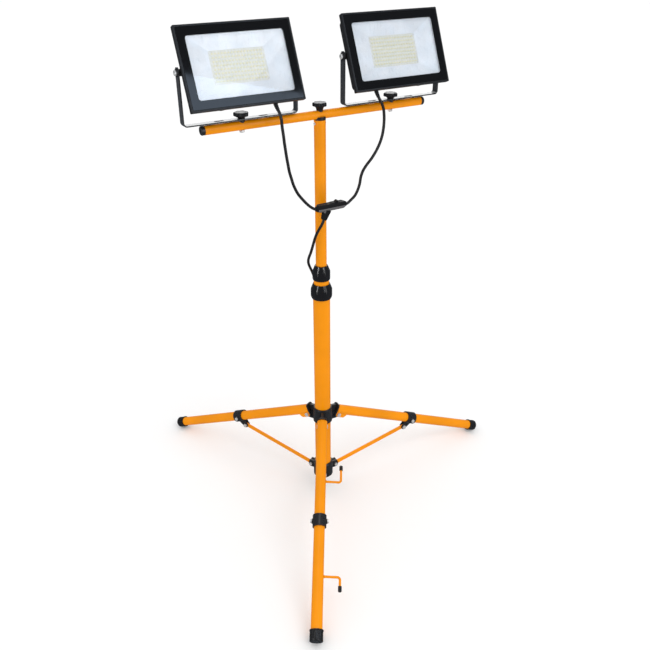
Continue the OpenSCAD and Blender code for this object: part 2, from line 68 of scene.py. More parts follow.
# Lengths in millimetres, angles in degrees, as on the frame
BAR_TURN = 31.6
LAMP_TILT = 23.8
LAMP_X = 175
BAR_R = 9.05
PIVOT_RISE = 109
LAMP_W, LAMP_H = 234, 155
FACE_Y, BACK_Y, BOARD_Y = -20, 7, -6
SHELL_H = 139
WINDOW_W, WINDOW_H = 196, 115.5
GLAND_X, VENT_X, PORT_Y = 59, 51, -2
RELIEF_LEAN, RELIEF_LEN = 3, 19
ARM_OUT = 121
LEG_IN = (38.5, 233)
LEG_SLOPE = 25.23
LEG_LEN = 517.6
CORD_D = 6.2
SPLITTER = (3, -39, 797)
MAST_X, MAST_Y, BAR_Z = JOINTS["bar_swivel"]["pos_m"]


# ---- Frames of reference, in metres ----
def turn(angle, axis):
    return Matrix.Rotation(math.radians(angle), 4, axis)


def shift(x, y, z):
    return Matrix.Translation(Vector((x, y, z)) * MM)


MAST = Matrix.Translation((MAST_X, MAST_Y, 0))
ALONG_BAR = MAST @ turn(BAR_TURN, "Z")
BAR = ALONG_BAR @ Matrix.Translation((0, 0, BAR_Z))
KNOB = {s: BAR @ shift(k * LAMP_X, 0, 0) for s, k in SIDES.items()}
LAMP = {s: KNOB[s] @ shift(0, 0, PIVOT_RISE) @ turn(-LAMP_TILT, "X") for s in SIDES}
LEG = {n: MAST @ turn(a, "Z") for n, a in LEGS.items()}
ON_LEG = {n: LEG[n] @ shift(LEG_IN[0], 0, LEG_IN[1]) @ turn(LEG_SLOPE, "Y") for n in LEGS}


def place(at, points):
    """Millimetre points in the frame `at`, as points in metres."""
    return [at @ (Vector(p) * MM) for p in points]


# ---- Mesh building, in millimetres ----
def circle(r, count=48):
    return [(r * math.cos(math.tau * k / count), r * math.sin(math.tau * k / count)) for k in range(count)]


def star(r, depth, lobes, count=112):
    """Circle whose edge is scalloped inward by `depth` between the lobes."""
    found = []
    for k in range(count):
        a = math.tau * k / count
        d = r - depth * (1 - math.cos(lobes * a)) / 2
        found.append((d * math.cos(a), d * math.sin(a)))
    return found


def rounded(w, h, r, steps=6):
    found = []
    for n, (sx, sy) in enumerate(((1, 1), (-1, 1), (-1, -1), (1, -1))):
        for k in range(steps + 1):
            a = math.pi / 2 * (n + k / steps)
            found.append((sx * (w / 2 - r) + r * math.cos(a), sy * (h / 2 - r) + r * math.sin(a)))
    return found


def scaled(outline, k):
    return [(x * k, y * k) for x, y in outline]


def rays(outline, count=48):
    """The outline seen from its middle: one point on each of `count` even rays."""
    found = []
    for k in range(count):
        d = Vector((math.cos(math.tau * (k + 0.5) / count), math.sin(math.tau * (k + 0.5) / count)))
        best = 0
        for p, q in zip(outline, outline[1:] + outline[:1]):
            a, e = Vector(p), Vector(q) - Vector(p)
            cross = d.x * e.y - d.y * e.x
            if abs(cross) > 1e-9:
                t = (a.x * e.y - a.y * e.x) / cross
                s = (a.x * d.y - a.y * d.x) / cross
                if t > 0 and -1e-6 <= s <= 1 + 1e-6:
                    best = max(best, t)
        found.append((d.x * best, d.y * best))
    return found


def smooth_path(points, parts=5):
    """Catmull-Rom curve through the points."""
    pts = [Vector(p) for p in points]
    pts = [2 * pts[0] - pts[1]] + pts + [2 * pts[-1] - pts[-2]]
    found = []
    for a, b, c, d in zip(pts, pts[1:], pts[2:], pts[3:]):
        for k in range(parts):
            t = k / parts
            found.append(0.5 * (2 * b + (c - a) * t + (2 * a - 5 * b + 4 * c - d) * t * t
                                + (3 * b - a - 3 * c + d) * t ** 3))
    return found + [pts[-2]]


class Shape:
    """Faces gathered in one mesh; every call places its own and gives them a material number."""

    def __init__(self):
        self.bm = bmesh.new()

    def rings(self, rings, at=STILL, mat=0, caps=(True, True), closed=False):
        rows = [[self.bm.verts.new(at @ Vector(p)) for p in ring] for ring in rings]
        pairs = list(zip(rows, rows[1:])) + ([(rows[-1], rows[0])] if closed else [])
        n = len(rows[0])
        faces = []
        for a, b in pairs:
            for k in range(n):
                faces.append(self.bm.faces.new((a[k], a[(k + 1) % n], b[(k + 1) % n], b[k])))
        if not closed and caps[0]:
            faces.append(self.bm.faces.new(rows[0][::-1]))
        if not closed and caps[1]:
            faces.append(self.bm.faces.new(rows[-1]))
        for f in faces:
            f.material_index = mat
        return self

    def stack(self, layers, at=STILL, mat=0, caps=(True, True)):
        """Outlines joined upward: layers are (outline, height)."""
        return self.rings([[(x, y, z) for x, y in line] for line, z in layers], at, mat, caps)

    def lathe(self, profile, at=STILL, mat=0, count=48, caps=(True, True)):
        return self.stack([(circle(max(r, 0.05), count), z) for r, z in profile], at, mat, caps)

    def frame(self, outer, inner, z0, z1, at=STILL, mat=0):
        """A plate from z0 to z1 with a window in it."""
        loop = ((outer, z0), (outer, z1), (inner, z1), (inner, z0))
        return self.rings([[(x, y, z) for x, y in line] for line, z in loop], at, mat, closed=True)

    def box(self, w, d, h, at=STILL, mat=0):
        """Centred on X and Y, standing on its base."""
        base = rounded(w, d, 0.2 * min(w, d), 2)
        return self.stack([(base, 0), (base, h)], at, mat)

    def sweep(self, points, radius, at=STILL, mat=0, count=16):
        """Round rod along the points; radius is a number or a function of the share of the way."""
        pts = [Vector(p) for p in points]
        side = None
        rings = []
        for k, p in enumerate(pts):
            ahead = (pts[min(k + 1, len(pts) - 1)] - pts[max(k - 1, 0)]).normalized()
            side = side or Vector((0, 0, 1)).cross(ahead if abs(ahead.z) < 0.9 else Vector((0, 1, 0.3)))
            side = (side - side.dot(ahead) * ahead).normalized()
            up = ahead.cross(side)
            r = radius(k / (len(pts) - 1)) if callable(radius) else radius
            rings.append([p + r * (x * side + y * up) for x, y in circle(1, count)])
        return self.rings(rings, at, mat)


def tidy_edges(obj, width, weld=False):
    """Rounds the sharp edges a little and evens out the shading."""
    if weld:
        obj.modifiers.new("weld", "WELD").merge_threshold = 0.00001
        flat = obj.modifiers.new("flat", "DECIMATE")
        flat.decimate_type = "DISSOLVE"
        flat.angle_limit = math.radians(0.4)
    if width:
        bevel = obj.modifiers.new("bevel", "BEVEL")
        bevel.width = width * MM
        bevel.segments = 2
        bevel.limit_method = "ANGLE"
        bevel.angle_limit = math.radians(34)
    even = obj.modifiers.new("even", "WEIGHTED_NORMAL")
    even.keep_sharp = True


def piece(name, shape, body, materials, at=STILL, bevel=0.3, replaces=(), floor=False):
    """Turns a shape into an object that rides on a body of the frame."""
    bm = shape.bm
    bmesh.ops.transform(bm, matrix=at @ Matrix.Scale(MM, 4), verts=bm.verts)
    if floor:
        for v in bm.verts:
            v.co.z = max(v.co.z, 0)
    bmesh.ops.recalc_face_normals(bm, faces=bm.faces)
    mesh = bpy.data.meshes.new(name)
    bm.to_mesh(mesh)
    bm.free()
    for m in materials:
        mesh.materials.append(m)
    mesh.shade_smooth()
    mesh.set_sharp_from_angle(angle=math.radians(40))
    obj = bpy.data.objects.new(name, mesh)
    bpy.context.scene.collection.objects.link(obj)
    tidy_edges(obj, bevel)
    if body:
        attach(obj, body)
    if replaces:
        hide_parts(*replaces)
    return obj


# ---- Materials ----
class Graph:
    """Short calls for a material's nodes."""

    def __init__(self, name):
        self.mat = bpy.data.materials.new(name)
        self.mat.use_nodes = True
        self.nodes = self.mat.node_tree.nodes
        self.shader = self.nodes["Principled BSDF"]
        self.place = self.nodes.new("ShaderNodeTexCoord").outputs["Object"]

    def link(self, a, b):
        self.mat.node_tree.links.new(a, b)

    def noise(self, scale, detail=3.0, stretch=None):
        tex = self.nodes.new("ShaderNodeTexNoise")
        tex.inputs["Scale"].default_value = scale
        tex.inputs["Detail"].default_value = detail
        source = self.place
        if stretch:
            mapping = self.nodes.new("ShaderNodeMapping")
            mapping.inputs["Scale"].default_value = stretch
            self.link(source, mapping.inputs["Vector"])
            source = mapping.outputs["Vector"]
        self.link(source, tex.inputs["Vector"])
        return tex.outputs["Fac"]

    def cells(self, scale):
        tex = self.nodes.new("ShaderNodeTexVoronoi")
        tex.inputs["Scale"].default_value = scale
        self.link(self.place, tex.inputs["Vector"])
        return tex.outputs["Distance"]

    def wave(self, scale, direction):
        tex = self.nodes.new("ShaderNodeTexWave")
        tex.bands_direction = direction
        tex.inputs["Scale"].default_value = scale
        self.link(self.place, tex.inputs["Vector"])
        return tex.outputs["Fac"]

    def spread(self, value, low, high, start=0.3, end=0.7):
        node = self.nodes.new("ShaderNodeMapRange")
        self.link(value, node.inputs["Value"])
        for socket, number in zip(("From Min", "From Max", "To Min", "To Max"), (start, end, low, high)):
            node.inputs[socket].default_value = number
        return node.outputs["Result"]

    def blend(self, value, dark, light):
        node = self.nodes.new("ShaderNodeMix")
        node.data_type = "RGBA"
        self.link(value, node.inputs["Factor"])
        for socket, colour in ((node.inputs[6], dark), (node.inputs[7], light)):
            if isinstance(colour, tuple):
                socket.default_value = (*colour, 1)
            else:
                self.link(colour, socket)
        return node.outputs[2]

    def bump(self, height, strength, distance):
        node = self.nodes.new("ShaderNodeBump")
        node.inputs["Strength"].default_value = strength
        node.inputs["Distance"].default_value = distance * MM
        self.link(height, node.inputs["Height"])
        if self.shader.inputs["Normal"].is_linked:
            self.link(self.shader.inputs["Normal"].links[0].from_socket, node.inputs["Normal"])
        self.link(node.outputs["Normal"], self.shader.inputs["Normal"])

    def set(self, **values):
        for socket, value in values.items():
            self.shader.inputs[socket.replace("_", " ")].default_value = value


def shade(colour, k):
    return tuple(min(1, c * k) for c in colour)


def coated(name, colour, rough, coat=0.0, patch=14, grain=900, depth=0.03, **values):
    """Paint or plastic: slight patches of tone, uneven gloss and a fine surface grain."""
    g = Graph(name)
    tone = g.spread(g.noise(patch, 5), 0, 1)
    g.link(g.blend(tone, shade(colour, 0.90), shade(colour, 1.06)), g.shader.inputs["Base Color"])
    rub = g.noise(patch * 9, 6, stretch=(1, 1, 0.25))
    g.link(g.spread(rub, rough * 0.8, rough * 1.25), g.shader.inputs["Roughness"])
    g.bump(g.noise(grain, 2), 0.5, depth)
    g.set(Coat_Weight=coat, Coat_Roughness=0.12, **values)
    return g


def tube_paint():
    """Gloss powder coat with a faint orange peel and a few dull rub marks."""
    g = coated("tube_paint", (0.90, 0.295, 0.0005), 0.36, coat=0.08, patch=9, grain=420, depth=0.05,
               Specular_IOR_Level=0.13)
    g.bump(g.noise(60, 2), 0.12, 0.2)
    return g.mat


def moulded(name, colour=(0.012, 0.012, 0.013), rough=0.38, grain=1500, **values):
    """Black plastic from a spark-eroded mould."""
    g = coated(name, colour, rough, patch=30, grain=grain, depth=0.02, **values)
    g.bump(g.cells(grain * 0.6), 0.25, 0.015)
    return g.mat


def zinc():
    """Bright zinc plate: cloudy tone and fine turning marks."""
    g = Graph("zinc")
    cloud = g.spread(g.noise(160, 4), 0, 1)
    g.link(g.blend(cloud, (0.66, 0.66, 0.65), (0.86, 0.87, 0.88)), g.shader.inputs["Base Color"])
    g.link(g.spread(g.noise(700, 3), 0.2, 0.42), g.shader.inputs["Roughness"])
    g.bump(g.noise(1800, 2), 0.3, 0.02)
    g.set(Metallic=0.45)
    return g.mat


def bracket_paint():
    """Charcoal powder coat on steel strip."""
    return coated("bracket_paint", (0.030, 0.031, 0.034), 0.30, coat=0.4, patch=25, grain=800, depth=0.04).mat


def cast_paint():
    """Black powder coat over cast aluminium."""
    g = coated("cast_paint", (0.010, 0.010, 0.011), 0.42, patch=20, grain=700, depth=0.06)
    g.bump(g.cells(1100), 0.3, 0.03)
    return g.mat


def printed_glass():
    """The black print behind the rim of the glass: deep and glossy, with a little dust."""
    g = Graph("printed_glass")
    dust = g.spread(g.noise(1400, 4), 0, 1, 0.62, 0.8)
    g.link(g.blend(dust, (0.0035, 0.0035, 0.004), (0.012, 0.012, 0.013)), g.shader.inputs["Base Color"])
    g.link(g.spread(g.noise(40, 5), 0.03, 0.09), g.shader.inputs["Roughness"])
    g.set(IOR=1.5)
    return g.mat


def clear_glass():
    """Toughened window glass, very slightly wavy and smeared."""
    g = Graph("clear_glass")
    g.link(g.spread(g.noise(25, 4), 0.0, 0.035), g.shader.inputs["Roughness"])
    g.bump(g.noise(18, 2), 0.05, 0.2)
    smear = g.spread(g.noise(60, 3), 0, 1)
    g.link(g.blend(smear, (0.95, 0.98, 1.0), (1.0, 1.0, 1.0)), g.shader.inputs["Base Color"])
    g.set(IOR=1.45, Transmission_Weight=1.0)
    return g.mat


def reflector_paint():
    """White semi-gloss tray."""
    return coated("reflector_paint", (0.72, 0.77, 0.84), 0.3, coat=0.35, patch=22, grain=500, depth=0.02).mat


def board_paint():
    """White solder mask with faint tracks under it."""
    g = Graph("board_paint")
    tracks = g.nodes.new("ShaderNodeTexBrick")
    tracks.inputs["Scale"].default_value = 70
    tracks.inputs["Mortar Size"].default_value = 0.03
    tracks.inputs["Color1"].default_value = (0.68, 0.70, 0.66, 1)
    tracks.inputs["Color2"].default_value = (0.72, 0.73, 0.70, 1)
    tracks.inputs["Mortar"].default_value = (0.60, 0.61, 0.55, 1)
    g.link(g.place, tracks.inputs["Vector"])
    g.link(tracks.outputs["Color"], g.shader.inputs["Base Color"])
    g.link(g.spread(g.noise(300, 3), 0.32, 0.5), g.shader.inputs["Roughness"])
    g.bump(tracks.outputs["Fac"], 0.2, 0.03)
    return g.mat


def phosphor():
    """Yellow gel of a light-emitting chip."""
    return coated("phosphor", (0.76, 0.73, 0.42), 0.25, patch=400, grain=2500, depth=0.01).mat


def rubber(name="rubber", colour=(0.012, 0.012, 0.0125), rough=0.5):
    """Black rubber or soft cable sheath, a little uneven."""
    g = coated(name, colour, rough, patch=40, grain=1300, depth=0.03)
    g.bump(g.noise(260, 4), 0.2, 0.05)
    return g.mat


def webbing():
    """Woven hook-and-loop strap."""
    g = coated("webbing", (0.03, 0.03, 0.033), 0.85, patch=120, grain=2400, depth=0.05, Sheen_Weight=0.3)
    g.bump(g.wave(450, "Z"), 0.5, 0.15)
    g.bump(g.wave(300, "DIAGONAL"), 0.4, 0.12)
    return g.mat


TUBE = tube_paint()
PLASTIC = moulded("plastic")
GLOSSY = moulded("glossy_plastic", (0.008, 0.008, 0.009), 0.16, 900)
SOFT_GREY = moulded("soft_plastic", (0.018, 0.018, 0.020), 0.30, 1200)
CASE = moulded("case_plastic", (0.009, 0.009, 0.010), 0.62, 1200, Specular_IOR_Level=0.2)
# painted light: a lighter grey for the case's lower shell, standing in for floor light on its lower sides
CASE_BASE_PAINTED_LIGHT = moulded("case_base_painted_light", (0.12, 0.115, 0.12), 0.5, 1200)
GRIP = moulded("grip_plastic", (0.012, 0.012, 0.014), 0.34, 1200, Specular_IOR_Level=0.32)
ZINC = zinc()
BRACKET = bracket_paint()
CAST = cast_paint()
PRINTED = printed_glass()
CLEAR = clear_glass()
REFLECTOR = reflector_paint()
BOARD = board_paint()
PHOSPHOR = phosphor()
RUBBER = rubber()
BOOT = rubber("boot_rubber", (0.011, 0.011, 0.0115), 0.27)
CORD = rubber("cord_sheath", (0.012, 0.012, 0.013), 0.36)
WEBBING = webbing()


# ---- Camera ----
def camera():
    """Lens and stance: looking down at the stand from in front, a little to its right."""
    heading, down, roll = math.radians(-1.809), math.radians(28.844), math.radians(-0.442)
    stance = (MAST_X + 0.0553, MAST_Y - 1.5134, 1.3235)
    ahead = Vector((math.sin(heading) * math.cos(down), math.cos(heading) * math.cos(down), -math.sin(down)))
    right = Vector((math.cos(heading), -math.sin(heading), 0))
    up = right.cross(ahead)
    x = math.cos(roll) * right + math.sin(roll) * up
    y = math.cos(roll) * up - math.sin(roll) * right
    data = bpy.data.cameras.new("camera")
    data.sensor_width = 36
    data.lens = 40.18
    data.clip_end = 200
    obj = bpy.data.objects.new("camera", data)
    bpy.context.scene.collection.objects.link(obj)
    obj.matrix_world = Matrix.Translation(stance) @ Matrix((x, y, -ahead)).transposed().to_4x4()
    bpy.context.scene.camera = obj


camera()

# ---- Cords ----
# Leads: along the crossbar, across it, height above the floor
LEAD_TOPS = {
    "left": [(-111.3, -40.1, 1005.8), (-110.3, -42.1, 999.5), (-109.5, -43, 993), (-108.5, -43, 979),
             (-106.5, -43, 964), (-105, -43, 949)],
    "right": [(121, -40, 1006), (123.6, -41.8, 1000.5), (126.6, -42.6, 994), (129, -43, 986),
              (130.3, -43, 976.5), (131, -43, 966), (130.5, -43, 952)],
}
LEAD_FEET = {
    "left": [(-105, -43, 949), (-103, -43, 934), (-101, -43, 919), (-98.5, -43, 904), (-95.5, -42, 889),
             (-91.5, -42, 875), (-87, -41, 861), (-81.5, -41, 848), (-75, -40, 837), (-67, -40, 826.5),
             (-57.5, -39, 815.5), (-48, -39, 806), (-38.5, -39, 799), (-33, -39, 797.6)],
    "right": [(130.5, -43, 952), (128.5, -43, 938), (124.5, -43, 924), (118, -43, 910), (109.5, -43, 897),
              (100, -43, 885.5), (89.5, -42, 874), (81, -42, 863), (76.5, -41, 850), (74, -41, 836),
              (70, -40, 822.5), (63, -40, 811), (53.5, -39, 802.5), (44.5, -39, 796.5), (38, -39, 796.2)],
}
# Mains lead: X and Y from the mast axis, height above the floor
MAINS_DOWN = [
    (7.75, -41.05, 770.1), (6, -42.1, 764.7), (2.6, -41.8, 757), (-2.2, -40, 748),
    (-8, -36.7, 735.5), (-13, -33, 720.5), (-16.6, -28.9, 706.5), (-19.6, -24.2, 694.5),
    (-22.9, -18.7, 682.5), (-26.6, -12.6, 671), (-29, -4.6, 659.5), (-29.3, 4.5, 648),
    (-27.4, 12.8, 636.5), (-24.1, 20, 624.5), (-20.5, 25.8, 612), (-17.5, 30, 599),
    (-15.6, 32.2, 586), (-15, 33, 573), (-15, 33, 559), (-15, 33, 545),
]
MAINS_TAIL = [
    (11, 33, 411), (11, 33, 398), (9.8, 34.2, 386), (6.5, 37.5, 374.5), (2.7, 41.3, 364),
    (-0.6, 44.6, 355), (-2, 46, 348), (-2, 46, 342),
]
HANK_X, HANK_Y, HANK_Z = -2, 52, 475
HANK_RUN = 115.4
FOLD_R = 19
TURNS = 4
PITCH = 6.5
PLUG = (-2, 46, 261)


def hank_path():
    """Long loops in upright planes, each a cord's width further along X."""
    found = []
    x = MAINS_DOWN[-1][0]
    top, low = HANK_Z + HANK_RUN / 2, HANK_Z - HANK_RUN / 2
    near, far = HANK_Y - FOLD_R, HANK_Y + FOLD_R
    runs, bends = 6, 10
    for n in range(TURNS + 1):
        found += [(x, near, top + (low - top) * k / runs) for k in range(runs)]
        if n == TURNS:
            break
        for k in range(bends):
            a = math.pi * k / bends
            found.append((x, HANK_Y - FOLD_R * math.cos(a), low - FOLD_R * math.sin(a)))
        found += [(x, far, low + (top - low) * k / runs) for k in range(runs)]
        for k in range(bends):
            a = math.pi * k / bends
            step = (k / bends) ** 2 * (3 - 2 * k / bends)
            found.append((x + PITCH * step, HANK_Y + FOLD_R * math.cos(a), top + FOLD_R * math.sin(a)))
        x += PITCH
    return found


def lamp_lead(side):
    """Two lengths of one cord: the upper from the lamp's strain relief along the crossbar, the lower on to
    the switch case; both stay where they are drawn.
    """
    relief_end = (RELIEF_LEAN - SIDES[side] * GLAND_X, PORT_Y, -SHELL_H / 2 - RELIEF_LEN)
    upper = smooth_path(place(LAMP[side], [relief_end]) + place(ALONG_BAR, LEAD_TOPS[side]), 4)
    lower = smooth_path(place(ALONG_BAR, LEAD_FEET[side]), 3)
    upper_rod = Shape().sweep([p / MM for p in upper], CORD_D / 2)
    lower_rod = Shape().sweep([p / MM for p in lower], CORD_D / 2)
    top = piece(f"lead_{side}_upper", upper_rod, None, [CORD], bevel=0,
                replaces=[f"lead_{side}"])
    foot = piece(f"lead_{side}_lower", lower_rod, None, [CORD], bevel=0)
    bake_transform(top)
    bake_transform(foot)


def mains_cord(plug, tie):
    """The mains lead: down behind the mast, wound into the hank, then out to the plug."""
    path = smooth_path(place(MAST, MAINS_DOWN + hank_path() + MAINS_TAIL), 3)
    line = bpy.data.curves.new("mains_cord", "CURVE")
    line.dimensions = "3D"
    line.bevel_depth = CORD_D / 2 * MM
    line.bevel_resolution = 5
    line.use_fill_caps = True
    spline = line.splines.new("POLY")
    spline.points.add(len(path) - 1)
    for point, p in zip(spline.points, path):
        point.co = (*p, 1)
    line.materials.append(CORD)
    obj = bpy.data.objects.new("mains_cord", line)
    bpy.context.scene.collection.objects.link(obj)
    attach(obj, "bar_body")
    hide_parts("mains_lead", "mains_hank")


def mains_plug():
    """Round two-pin plug with earth strips, grip dimples and a ribbed relief."""
    s = Shape()
    low = 19
    profile = [(17.6, low), (18.5, low + 0.9), (18.5, low + 17), (17.6, low + 20), (15, low + 24.5),
               (11.5, low + 29), (9, low + 32)]
    rings = []
    for r, z in profile:
        pinch = 0.10 * max(0, min(1, (z - low - 6) / 14))
        rings.append([(x * (1 - pinch * abs(x / r) ** 3), y, z) for x, y in circle(r, 64)])
    s.rings(rings)
    ribs = [(6.6, low + 31.5)]
    for k in range(7):
        z = low + 33 + k * 4.2
        r = 6.5 - 0.3 * k
        ribs += [(r, z), (r, z + 2.6), (r - 0.9, z + 3), (r - 0.9, z + 4)]
    s.lathe(ribs + [(3.6, low + 63.5)], count=32)
    # painted shade: a thin disc of darker rubber on the face stands in for the dark earth-pin hole
    s.lathe([(3.1, low - 0.15), (3.1, low + 0.2)], at=Matrix.Translation((0, 9, 0)), mat=2, count=24)
    for x in (-9.5, 9.5):
        at = Matrix.Translation((x, 0, 0))
        s.lathe([(1.2, 0), (2.0, 0.5), (2.4, 1.6), (2.4, low + 1)], at, 1, 24)
    for y in (-17.9, 17.9):
        s.box(6, 1.4, 13, Matrix.Translation((0, y, low - 0.2)), 1)
    return piece("plug", s, "bar_body", [SOFT_GREY, ZINC, RUBBER], at=MAST @ shift(*PLUG),
                 bevel=0.25, replaces=["mains_plug"])


def hank_strap():
    """Strap round the hank, its free end laid over itself."""
    inner = rounded(34.6, 44.8, 3.6, 8)
    outer = rounded(37.4, 47.6, 4.8, 8)
    s = Shape().frame(outer, inner, -8, 8)
    s.box(1.3, 21, 15, Matrix.Translation((-19.2, -3, -7.5)))
    return piece("hank_strap", s, "bar_body", [WEBBING],
                 at=MAST @ shift(HANK_X, HANK_Y, HANK_Z), bevel=0.3, replaces=["hank_tie"])


for name in SIDES:
    lamp_lead(name)
mains_cord(mains_plug(), hank_strap())


# ---- Lamps ----
UPRIGHT = turn(90, "X")  # an outline drawn in XY stands up in XZ, its height running toward -Y


def lamp_window(side):
    """Glass in two pieces: the printed black border and the clear pane inside it."""
    lip = 3.7
    outer = rounded(LAMP_W - 2 * lip, LAMP_H - 2 * lip, 1)
    inner = rounded(WINDOW_W, WINDOW_H, 5)
    border = Shape().frame(outer, inner, 16, -FACE_Y, at=UPRIGHT)
    piece(f"lamp_{side}_border", border, f"lamp_{side}_body", [PRINTED], at=LAMP[side],
          bevel=0.5, replaces=[f"lamp_{side}_glass"])
    fitted = scaled(inner, 0.9995)
    pane = Shape().stack([(fitted, 16.4), (fitted, -FACE_Y - 0.05)], at=UPRIGHT)
    obj = piece(f"lamp_{side}_pane", pane, f"lamp_{side}_body", [CLEAR], at=LAMP[side],
                bevel=0)
    obj.visible_shadow = False
    obj.visible_diffuse = False


def lamp_tray(side):
    """White pressed tray that slopes from the window down to the light board."""
    section = ((199, 118.5, 6, 15.4), (197.5, 117, 6, 15.6), (112.6, 62.2, 2, 6.3), (114.5, 64, 2, 6.1))
    rings = [[(x, y, z) for x, y in rounded(w, h, r)] for w, h, r, z in section]
    s = Shape().rings(rings, at=UPRIGHT, closed=True)
    s.frame(rounded(204, 125, 5), rounded(197.6, 117.1, 6), 15.1, 15.9, at=UPRIGHT)
    piece(f"lamp_{side}_tray", s, f"lamp_{side}_body", [REFLECTOR], at=LAMP[side],
          bevel=0, replaces=[f"lamp_{side}_reflector"])


def lamp_chips(side):
    """Rows of light-emitting chips on the board, with the board's screws."""
    s = Shape()
    columns, across = 16, 6.6
    rows, rise = 8, 7.2
    for i in range(columns):
        for j in range(rows):
            x, z = (i - (columns - 1) / 2) * across, (j - (rows - 1) / 2) * rise
            at = Matrix.Translation((x, BOARD_Y, z)) @ UPRIGHT
            s.box(4.2, 3.4, 0.7, at, 0)
            s.box(3.0, 2.4, 0.85, at, 1)
    for x in (-54.2, 54.2):
        for z in (-28.5, 28.5):
            at = Matrix.Translation((x, BOARD_Y, z)) @ UPRIGHT
            s.lathe([(1.7, -0.2), (1.7, 0.5), (1.2, 0.9)], at, 2, 20)
    piece(f"lamp_{side}_chips", s, f"lamp_{side}_body", [BOARD, PHOSPHOR, ZINC], at=LAMP[side],
          bevel=0)


def lamp_ports(side):
    """Cable gland with a ribbed relief, and the slotted pressure vent."""
    s = Shape()
    low = -SHELL_H / 2
    gland = Matrix.Translation((-SIDES[side] * GLAND_X, PORT_Y, low))
    s.stack([(circle(r, 6), z) for r, z in ((7, 0), (7.5, -0.6), (7.5, -4.2), (6.9, -5))], gland)
    steps = 30
    spine = [(RELIEF_LEAN * (k / steps) ** 1.5, 0, -4.6 - 15.2 * k / steps) for k in range(steps + 1)]
    s.sweep(spine, lambda t: 4.7 - 1.1 * t - (0.6 if (t * steps) % 6 > 3.5 else 0), gland, 1, 28)
    vent = Matrix.Translation((SIDES[side] * VENT_X, PORT_Y, low))
    s.lathe([(8.0, 0), (8.5, -0.6), (8.5, -2.4), (7.9, -3), (6.5, -3.1)], vent, 0, 40)
    s.stack([(star(r, 0.7, 12, 96), z) for r, z in ((6.5, -2.9), (6.5, -5.4), (5.9, -6))], vent)
    piece(f"lamp_{side}_ports", s, f"lamp_{side}_body", [SOFT_GREY, RUBBER], at=LAMP[side],
          bevel=0.25, replaces=[f"lamp_{side}_fittings"])


def lamp_pivots(side):
    """Toothed black washers and zinc socket bolts on both ends of the tilt axis."""
    s = Shape()
    teeth = ((8.6, 0.5, -1.4), (9, 0.6, -1), (9, 0.6, -0.3), (8.4, 0.4, 0))
    for k in (-1, 1):
        at = turn(90 * k, "Y")
        arm = at @ Matrix.Translation((0, 0, ARM_OUT))
        s.stack([(star(r, depth, 20, 160), z) for r, depth, z in teeth], arm, 1)
        s.lathe([(7.4, -0.1), (7.4, 1.4), (6.6, 2.1)], arm, 1, 40)
        s.lathe([(4.9, 2), (5.1, 2.5), (5.1, 4.4), (4.4, 5), (2.9, 5.05)], arm, 0, 40, caps=(True, False))
        s.stack([(circle(r, 6), z) for r, z in ((2.9, 5.05), (2.6, 4.8), (2.6, 2.9))], arm, 0, (False, True))
        s.lathe([(4, LAMP_W / 2 - 8), (4, ARM_OUT - 1)], at, 0, 32)
    piece(f"lamp_{side}_pivots", s, f"lamp_{side}_body", [ZINC, SOFT_GREY], at=LAMP[side],
          bevel=0.15, replaces=[f"lamp_{side}_pivot_bolts"])


def lamp_screws(side):
    """Cross-head screws that hold the cast back to the frame."""
    s = Shape()
    for x in (-98, 98):
        for z in (-57, 0, 57):
            at = Matrix.Translation((x, BACK_Y, z)) @ turn(-90, "X")
            s.lathe([(4.1, -0.3), (4.1, 0.6), (3.6, 1.8), (2.4, 2.5), (1.2, 2.7)], at, 0, 28)
            # painted shade: the cross recess is two thin black bars laid on the head, not cut into it
            for a in (0, 90):
                s.box(4, 0.9, 0.25, at @ turn(a, "Z") @ Matrix.Translation((0, 0, 2.6)), 1)
    piece(f"lamp_{side}_screws", s, f"lamp_{side}_body", [ZINC, RUBBER], at=LAMP[side],
          bevel=0)


for name in SIDES:
    lamp_window(name)
    lamp_tray(name)
    lamp_chips(name)
    lamp_ports(name)
    lamp_pivots(name)
    lamp_screws(name)


# ---- Knobs, washers and nuts of the crossbar ----
def star_knob(name, body, at, foot, head, tip):
    """Seven-lobed grip with a dished cap on a threaded stud; heights above the bar's axis."""
    s = Shape()
    rim, depth, lobes, grip = 15.2, 2.0, 7, 8
    outline = star(rim, depth, lobes)
    base = head - grip
    side = ((0.84, base), (0.95, base + 0.5), (1.0, base + 1.8), (1.0, head - 2.2), (0.965, head - 0.8),
            (0.9, head - 0.1))
    s.stack([(scaled(outline, k), z) for k, z in side], caps=(True, False))
    dish = ((11.4, 0.0), (10.9, 0.0), (10.5, 0.5), (9.9, 0.5), (9.5, 0.0), (6, 0.15), (2, 0.2))
    s.stack([(scaled(outline, 0.9), head - 0.1)]
            + [(circle(r, 112), head - 0.05 - drop) for r, drop in dish], caps=(False, True))
    neck = [(7, foot), (7.3, foot + 0.8), (7.9, (foot + base) / 2), (9.6, base - 0.4), (10.2, base + 0.3)]
    s.lathe(neck, count=40)
    thread = [(1.6, tip)]
    z = tip + 0.8
    while z < foot - 0.6:
        thread += [(2.95, z), (2.55, z + 0.5)]
        z += 1.0
    s.lathe(thread + [(2.9, foot + 0.5)], mat=1, count=24)
    piece(name + "_grip", s, body, [GRIP, ZINC], at=at, bevel=0.15, replaces=[name])


star_knob("center_knob", "center_knob_body", BAR, 9.9, 24.8, -34)
for name in SIDES:
    star_knob(f"knob_{name}", f"knob_{name}_body", KNOB[name], 13.9, 25.8, -14.4)


